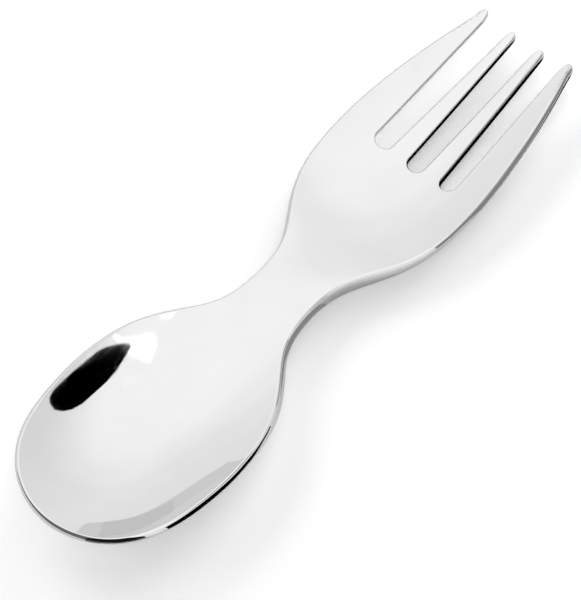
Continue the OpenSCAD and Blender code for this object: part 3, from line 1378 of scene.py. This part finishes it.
HORIZON_ENDS = ((-0.5, -28.5, 7), (7, -28, 7), (8, -24, 7), (9.3, -9, 6.5), (10.5, -3, 5))

CARDS = (
    Wall("bowl_side_wall", 0.0, BOWL_WALL, foot=1.2),
    Wall("fork_side_wall", 0.3, ((25, -42, 20), (115, -42, 20))),
    Screen("far_side_flag", 0.1, ((0.5, 101, 112), (8, 101, 112))),
    Screen("slant_flag", 0.0, SLANT, distance=3.9),
    Screen("camera_flag", 0.01, [(h, start, BEHIND_SPLIT) for h, start, _ in BEHIND_CAMERA]),
    Screen("camera_side", 0.18, [(h, BEHIND_SPLIT, end) for h, _, end in BEHIND_CAMERA]),
    Screen("horizon_band", 0.75, HORIZON),
    Screen("horizon_ends", 0.83, HORIZON_ENDS, distance=4.2),
    FloorArc("horizon_floor", 0.78, (60, 1490), (-28.5, 7)),
    Screen("softbox", 1.55, SOFTBOX),
    Screen("small_softbox", 1.29, ((63, 84, 92), (70, 84, 92.5), (74, 83, 90))),
    # Painted shade: a black sheet under the tines that only reflections show, in place of the shade
    # on the table below the fork.
    PaintedShadeSheet("slot_painted_shade", 0.0, (34, -19), (76, 3.5)),
    # Painted shade: a grey sheet under the waist that only reflections show, in place of the
    # contact shadow on the table there.
    PaintedShadeSheet("waist_painted_shade", 0.31, (-12, -20), (0, -6)),
    # Painted shade: a grey sheet beside the fork's side that only reflections show, in place of the
    # shade on the table there.
    PaintedShadeSheet("fork_side_painted_shade", 0.3, (38, -42), (110, -22)),
    FloorArc("camera_floor_flag", 0.0, (100, 1400), (152, 205)),
)


@dataclass(frozen=True)
class SkyLevel:
    """The white tent around the table, as the metal sees it.

    The stops are pairs of a height's sine and a level. One side is dimmer, by a share that
    falls off within a reach in degrees and fades out between two heights' sines.
    """

    stops: Sequence[tuple[float, float]] = (
        (0.0, 1.02),
        (0.24, 1.055),
        (0.5, 1.10),
        (0.66, 1.17),
        (0.82, 1.245),
        (0.95, 1.275),
    )
    table_level: float = 0.09
    dim_heading: float = 73.0
    dim_height: float = 35.0
    dim_share: float = 0.17
    dim_reach: float = 56.0
    dim_top: tuple[float, float] = (0.6, 0.86)

    def dim(self, bench: NodeBench, camera: PhotoCamera, direction: Socket) -> Socket:
        """How much dimmer the tent is on its dim side.

        Args:
            bench: The world's bench.
            camera: The camera that headings are counted from.
            direction: The direction that is looked in.

        Returns:
            The share that is taken off.
        """
        side = tuple(camera.toward(self.dim_heading, self.dim_height))
        angle = bench.math("ARCCOSINE", bench.vector("DOT_PRODUCT", direction, side))
        beside = bench.add(
            "ShaderNodeMapRange",
            Value=angle,
            From_Max=math.radians(self.dim_reach),
            To_Min=self.dim_share,
            To_Max=0.0,
        )
        below = bench.add(
            "ShaderNodeMapRange",
            {"interpolation_type": "SMOOTHSTEP"},
            Value=bench.add("ShaderNodeSeparateXYZ", Vector=direction).outputs["Z"],
            From_Min=self.dim_top[0],
            From_Max=self.dim_top[1],
            To_Min=1.0,
            To_Max=0.0,
        )
        return bench.math("MULTIPLY", beside.outputs["Result"], below.outputs["Result"])

    def build(self, camera: PhotoCamera) -> bpy.types.World:
        """Builds the world: white to the camera, graded to the metal and dim to the table.

        Args:
            camera: The camera that headings are counted from.

        Returns:
            The world.
        """
        world = bpy.data.worlds.new("tent")
        world.use_nodes = True
        world.node_tree.nodes.clear()
        bench = NodeBench(world.node_tree)
        output = bench.add("ShaderNodeOutputWorld")
        direction = bench.add("ShaderNodeTexCoord").outputs["Generated"]
        height = bench.add("ShaderNodeSeparateXYZ", Vector=direction).outputs["Z"]
        top = max(level for _, level in self.stops)
        shares = tuple((place, level / top) for place, level in self.stops)
        tent = bench.math("MULTIPLY", bench.ramp(height, shares), top)
        kept = bench.math("SUBTRACT", 1.0, self.dim(bench, camera, direction))
        path = bench.add("ShaderNodeLightPath")
        first = bench.math("LESS_THAN", path.outputs["Diffuse Depth"], 0.5)
        mirrored = bench.math("MULTIPLY", path.outputs["Is Glossy Ray"], first)
        glossy = bench.mix(mirrored, self.table_level, bench.math("MULTIPLY", tent, kept))
        shown = bench.mix(path.outputs["Is Camera Ray"], glossy, 1.0)
        white = (1.0, 1.0, 1.0, 1.0)
        background = bench.add("ShaderNodeBackground", Color=white, Strength=shown)
        bench.feed(output.inputs["Surface"], background.outputs["Background"])
        bpy.context.scene.world = world
        return world


@dataclass(frozen=True)
class SoftLamp:
    """A large soft lamp that gives the spork its shadow. The metal doesn't show it."""

    name: str
    heading: float
    height: float
    size: float
    power: float
    distance: float = 1.5

    def build(self, camera: PhotoCamera) -> bpy.types.Object:
        """Builds the lamp, aimed at the origin.

        Args:
            camera: The camera that headings are counted from.

        Returns:
            The lamp.
        """
        data = bpy.data.lights.new(self.name, "AREA")
        data.shape = "SQUARE"
        data.size = self.size
        data.energy = self.power
        lamp = place_object(self.name, data)
        lamp.location = camera.toward(self.heading, self.height) * self.distance
        lamp.rotation_euler = (-lamp.location).to_track_quat("-Z", "Y").to_euler()
        lamp.visible_glossy = False
        lamp.visible_camera = False
        return lamp


LAMPS = (
    SoftLamp("left_lamp", heading=-38, height=20, size=1.0, power=16.4),
    SoftLamp("side_lamp", heading=-85, height=24, size=0.6, power=3.1),
    SoftLamp("right_lamp", heading=30, height=20, size=1.0, power=14.2),
    SoftLamp("front_lamp", heading=150, height=15, size=0.6, power=9.9),
    SoftLamp("camera_lamp", heading=180, height=60, size=1.0, power=3.5),
    SoftLamp("top_lamp", heading=30, height=65, size=1.2, power=3.9),
)


@dataclass
class Studio:
    """The table, the tent, the cards, the lamps and the camera."""

    camera: PhotoCamera = field(default_factory=PhotoCamera)
    sky: SkyLevel = field(default_factory=SkyLevel)
    table_side: float = 3.0

    def table(self) -> bpy.types.Object:
        """Builds the table, a wide white sheet under the spork.

        Returns:
            The table.
        """
        half = self.table_side / 2
        mesh = bpy.data.meshes.new("table")
        signs = ((-1, -1), (1, -1), (1, 1), (-1, 1))
        mesh.from_pydata([(x * half, y * half, 0.0) for x, y in signs], [], [(0, 1, 2, 3)])
        mesh.materials.append(TableFinish().build())
        table = place_object("table", mesh)
        return table

    def build(self) -> None:
        """Builds the whole studio."""
        self.camera.build()
        LOG.info("camera: %.1f mm lens", bpy.context.scene.camera.data.lens)
        self.table()
        self.sky.build(self.camera)
        for part in (*LAMPS, *CARDS):
            part.build(self.camera)
            LOG.info("studio: %s", part.name)
        bpy.context.scene.view_settings.view_transform = "Standard"


def main() -> None:
    """Loads the frame, builds the studio and the spork, and gives the frame's nodes the steel
    finish.
    """
    logging.basicConfig(level=logging.INFO, format="%(name)s: %(message)s")
    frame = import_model()
    Studio().build()
    faces_finish = SteelFinish("polished_steel").build()
    edge_finish = SteelFinish(
        "ground_steel_edge", gloss=0.05, film_gloss=0.07, wave_depth=0.0, line_gloss=0.14
    ).build()
    SporkBody(SporkForm(), faces_finish, edge_finish).build()
    for node in frame["nodes"].values():
        node.data.materials.clear()
        node.data.materials.append(faces_finish)


if __name__ == "__main__":
    main()
